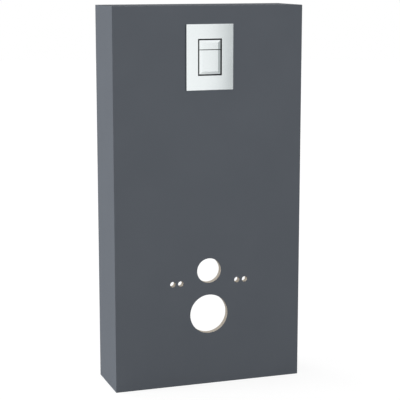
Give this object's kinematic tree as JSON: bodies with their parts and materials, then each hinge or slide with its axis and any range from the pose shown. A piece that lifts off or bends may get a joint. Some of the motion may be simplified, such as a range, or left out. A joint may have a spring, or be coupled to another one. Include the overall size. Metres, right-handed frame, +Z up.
{
  "type": "wall hung toilet frame casing",
  "caption": "Dark boxed casing for a wall hung toilet frame: mitred boards, open back, holes for waste, flush pipe and pan studs, and a flush plate with a small and a large push button.",
  "frame": {"origin": "on the floor, under the middle of the whole object's box", "axes": "+Z up, +Y from the front towards the wall, +X to the right as seen from the front"},
  "size_m": [0.59, 0.198, 1.15],
  "materials": {
    "lacquered_board": "dark grey matt lacquer on fibreboard, raw inside",
    "pine_batten": "planed softwood",
    "zinc_steel": "bright zinc plated",
    "carrier_plastic": "black moulded",
    "satin_chrome": "satin chrome"
  },
  "bodies": {
    "casing": {"front_panel": "lacquered_board", "left_side_panel": "lacquered_board", "right_side_panel": "lacquered_board", "top_panel": "lacquered_board", "left_front_upright": "pine_batten", "left_wall_upright": "pine_batten", "left_floor_rail": "pine_batten", "left_middle_rail": "pine_batten", "left_top_rail": "pine_batten", "right_front_upright": "pine_batten", "right_wall_upright": "pine_batten", "right_floor_rail": "pine_batten", "right_middle_rail": "pine_batten", "right_top_rail": "pine_batten", "upper_left_wall_angle": "zinc_steel", "lower_left_wall_angle": "zinc_steel", "upper_right_wall_angle": "zinc_steel", "lower_right_wall_angle": "zinc_steel", "left_floor_angle": "zinc_steel", "right_floor_angle": "zinc_steel", "plate_carrier": "carrier_plastic", "flush_plate": "satin_chrome"},
    "small_flush_button": {"small_flush_button": "satin_chrome"},
    "large_flush_button": {"large_flush_button": "satin_chrome"}
  },
  "joints": [
    {"name": "small_flush_press", "type": "slide", "parent": "casing", "child": "small_flush_button", "axis": [0, 1, 0], "range_m": [0, 0.006], "stiffness_N_per_m": 1000, "springref_m": -0.004},
    {"name": "large_flush_press", "type": "slide", "parent": "casing", "child": "large_flush_button", "axis": [0, 1, 0], "range_m": [0, 0.006], "stiffness_N_per_m": 1000, "springref_m": -0.004}
  ]
}
